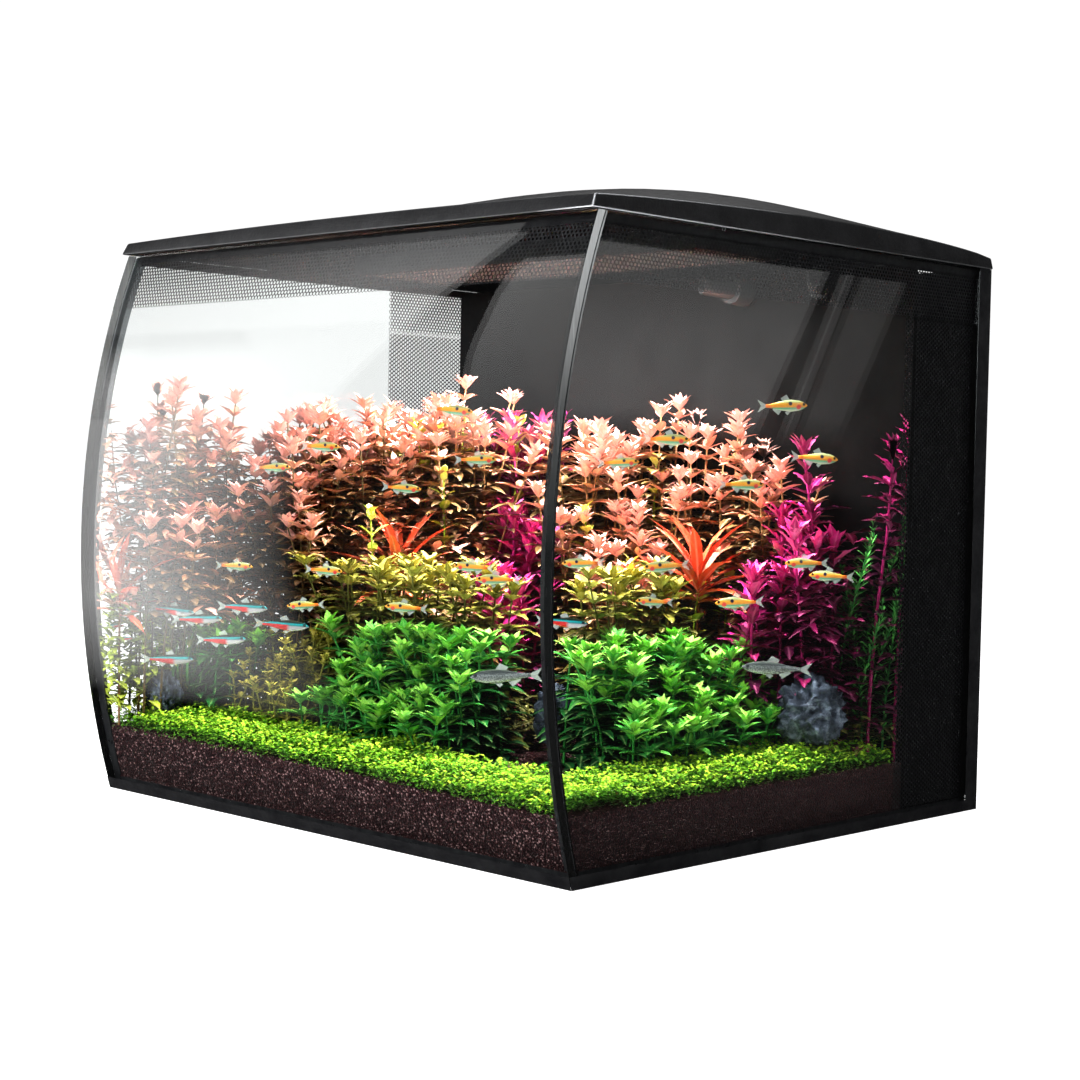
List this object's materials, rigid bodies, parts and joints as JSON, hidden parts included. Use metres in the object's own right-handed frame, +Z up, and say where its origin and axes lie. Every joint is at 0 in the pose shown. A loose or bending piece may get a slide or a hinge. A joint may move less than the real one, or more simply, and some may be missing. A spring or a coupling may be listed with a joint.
{
  "type": "glass aquarium tank",
  "caption": "Curved-front glass aquarium with a domed black hood, a lamp, a rear filter chamber with pump and swivelling outlets, and a planted gravel bed.",
  "frame": {"origin": "middle of the footprint, on the surface the tank stands on", "axes": "+Z up, -Y out through the curved front pane, +X to the right seen from the front"},
  "size_m": [0.411, 0.402, 0.3889],
  "materials": {
    "clear_glass": "gloss",
    "black_silicone": "satin",
    "hood_plastic": "matte",
    "chamber_plastic": "satin",
    "pump_plastic": "satin",
    "nozzle_plastic": "satin",
    "foam": "matte",
    "media_fabric": "matte",
    "ceramic": "matte",
    "steel": "satin",
    "magnet_black": "satin",
    "rubber": "matte",
    "hose_rubber": "satin",
    "lamp_diffuser": "gloss",
    "circuit_board": "satin",
    "gravel": "matte",
    "rock": "matte",
    "green_leaf": "satin",
    "lime_leaf": "satin",
    "olive_leaf": "satin",
    "salmon_leaf": "satin",
    "red_leaf": "satin",
    "magenta_leaf": "satin"
  },
  "bodies": {
    "tank": {"bottom_glass": "clear_glass", "front_curved_glass": "clear_glass", "left_side_glass": "clear_glass", "right_side_glass": "clear_glass", "rear_glass": "clear_glass", "front_left_seam": "black_silicone", "front_right_seam": "black_silicone", "rear_left_seam": "black_silicone", "rear_right_seam": "black_silicone", "bottom_seam": "black_silicone", "filter_partition": "chamber_plastic", "foam_chamber_divider": "chamber_plastic", "pump_chamber_divider": "chamber_plastic", "left_outlet_socket": "chamber_plastic", "right_outlet_socket": "chamber_plastic", "pump_housing": "pump_plastic", "pump_cover": "pump_plastic", "outlet_manifold": "pump_plastic", "impeller_shaft": "ceramic", "pump_base_pad": "rubber", "riser_hose": "hose_rubber", "gravel_bed": "gravel", "left_rock": "rock", "middle_rock": "rock", "right_rock": "rock", "front_carpet": "lime_leaf", "right_carpet": "lime_leaf", "left_green_bush": "green_leaf", "near_green_bush": "green_leaf", "right_green_bush": "green_leaf", "grass_tuft": "green_leaf", "right_fern": "green_leaf", "brown_bush": "olive_leaf", "olive_plants": "olive_leaf", "right_olive_plants": "olive_leaf", "left_red_plant": "red_leaf", "front_red_plant": "red_leaf", "right_red_plant": "red_leaf", "left_stem_plants": "salmon_leaf", "middle_stem_plants": "salmon_leaf", "centre_stem_plants": "salmon_leaf", "centre_magenta_plant": "magenta_leaf", "right_magenta_plant": "magenta_leaf"},
    "hood": {"hood_shell": "hood_plastic", "lamp_housing": "hood_plastic", "lamp_board": "circuit_board", "lamp_lens": "lamp_diffuser", "lamp_screw_left": "steel", "lamp_screw_right": "steel", "cord_grommet": "rubber", "flap_hinge_pin": "steel"},
    "flap": {"feeding_flap": "hood_plastic"},
    "left_nozzle": {"left_outlet_nozzle": "nozzle_plastic"},
    "right_nozzle": {"right_outlet_nozzle": "nozzle_plastic"},
    "impeller": {"pump_impeller": "magnet_black"},
    "foam_cartridge": {"foam_carrier": "chamber_plastic", "foam_block": "foam"},
    "media_cartridge": {"media_basket": "chamber_plastic", "carbon_pouch": "media_fabric", "ceramic_ring_bag": "ceramic"}
  },
  "joints": [
    {"name": "hood_lift", "type": "slide", "parent": "tank", "child": "hood", "axis": [0, 0, 1], "range_m": [0, 0.12]},
    {"name": "feeding_flap_hinge", "type": "hinge", "parent": "hood", "child": "flap", "pos_m": [0, -0.097, 0.36055], "axis": [-1, 0, 0], "range_deg": [0, 100]},
    {"name": "left_nozzle_swivel", "type": "hinge", "parent": "tank", "child": "left_nozzle", "pos_m": [0.07, 0.1125, 0.329], "axis": [0, 1, 0], "continuous": true},
    {"name": "right_nozzle_swivel", "type": "hinge", "parent": "tank", "child": "right_nozzle", "pos_m": [0.14, 0.1125, 0.329], "axis": [0, 1, 0], "continuous": true},
    {"name": "impeller_spin", "type": "hinge", "parent": "tank", "child": "impeller", "pos_m": [0.112, 0.16, 0.0415], "axis": [1, 0, 0], "continuous": true},
    {"name": "foam_cartridge_lift", "type": "slide", "parent": "tank", "child": "foam_cartridge", "axis": [0, 0, 1], "range_m": [0, 0.055]},
    {"name": "media_basket_lift", "type": "slide", "parent": "tank", "child": "media_cartridge", "axis": [0, 0, 1], "range_m": [0, 0.115]}
  ]
}
